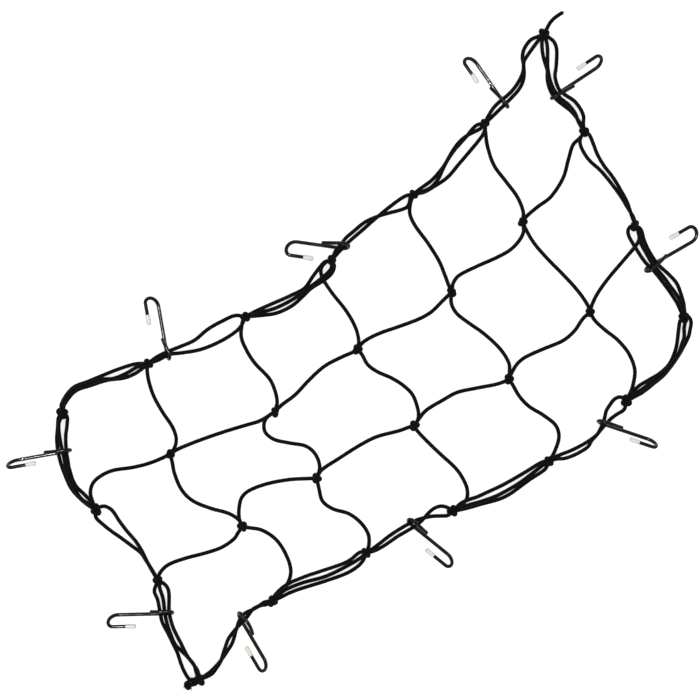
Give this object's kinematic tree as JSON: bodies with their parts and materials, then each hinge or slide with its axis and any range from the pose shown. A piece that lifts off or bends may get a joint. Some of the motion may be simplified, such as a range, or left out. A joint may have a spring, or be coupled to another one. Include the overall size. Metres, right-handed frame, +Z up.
{
  "type": "cargo net",
  "caption": "Elastic cord cargo net with square cells and bent wire hooks round its edge, laid open and loose.",
  "frame": {"origin": "under the middle of the bounding box, on the surface the net lies on", "axes": "+X along the long side of the net, +Y across it, +Z up"},
  "size_m": [0.8942, 0.5284, 0.0212],
  "materials": {
    "cord": "black woven sheath over a rubber core, matt",
    "hook_wire": "black plastic coat, glossy",
    "cap": "milky soft vinyl, half clear"
  },
  "bodies": {
    "root": {"net": "cord", "hook_1": "hook_wire", "hook_2": "hook_wire", "hook_3": "hook_wire", "hook_4": "hook_wire", "hook_5": "hook_wire", "hook_6": "hook_wire", "hook_7": "hook_wire", "hook_8": "hook_wire", "hook_9": "hook_wire", "hook_10": "hook_wire", "cap_1": "cap", "cap_2": "cap", "cap_3": "cap", "cap_4": "cap", "cap_5": "cap", "cap_6": "cap", "cap_7": "cap", "cap_8": "cap", "cap_9": "cap", "cap_10": "cap"}
  },
  "joints": []
}
